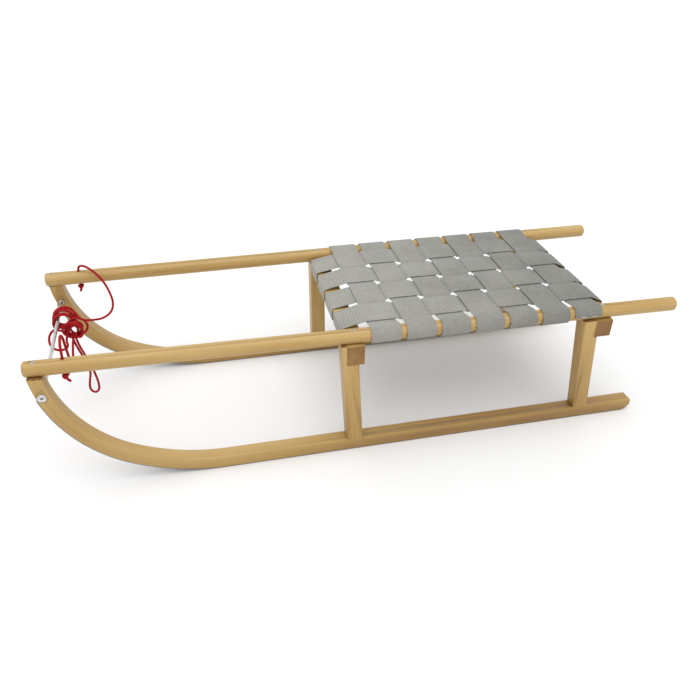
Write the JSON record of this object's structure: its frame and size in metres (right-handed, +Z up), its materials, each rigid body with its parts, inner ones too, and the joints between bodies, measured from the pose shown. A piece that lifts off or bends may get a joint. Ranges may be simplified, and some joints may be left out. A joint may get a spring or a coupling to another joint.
{
  "type": "wooden toboggan",
  "caption": "Bentwood toboggan with curved runners on steel shoes, legs and crossbars, round side rails, a woven webbing seat, and a pull cord tied under the front grips",
  "frame": {"origin": "on the ground under the middle of the overall box", "axes": "+X forwards towards the curved runner tips, +Y to the rider's left, +Z up"},
  "size_m": [1.1002, 0.3556, 0.2696],
  "materials": {
    "wood": "clear varnished beech, satin",
    "webbing": "light grey ribbed polypropylene webbing, matt",
    "steel": "zinc plated steel, dull",
    "cord": "red braided polyester cord, matt"
  },
  "bodies": {
    "root": {"left_rail": "wood", "right_rail": "wood", "left_runner": "wood", "right_runner": "wood", "front_left_leg": "wood", "front_right_leg": "wood", "rear_left_leg": "wood", "rear_right_leg": "wood", "front_crossbar": "wood", "rear_crossbar": "wood", "left_shoe": "steel", "right_shoe": "steel", "left_rod_nut": "steel", "right_rod_nut": "steel", "tie_rod": "steel", "rail_screws": "steel", "leg_screws": "steel", "crossbar_screws": "steel", "shoe_screws": "steel", "tie_rod_washers": "steel", "rail_staples": "steel", "crossbar_staples": "steel", "cross_strap_1": "webbing", "cross_strap_2": "webbing", "cross_strap_3": "webbing", "cross_strap_4": "webbing", "cross_strap_5": "webbing", "cross_strap_6": "webbing", "cross_strap_7": "webbing", "long_strap_1": "webbing", "long_strap_2": "webbing", "long_strap_3": "webbing", "long_strap_4": "webbing", "pull_cord_right": "cord", "pull_cord_long_loop": "cord", "pull_cord_loose_loop": "cord", "pull_cord_left": "cord", "pull_cord_hank": "cord", "left_knot": "cord", "right_knot": "cord"}
  },
  "joints": []
}
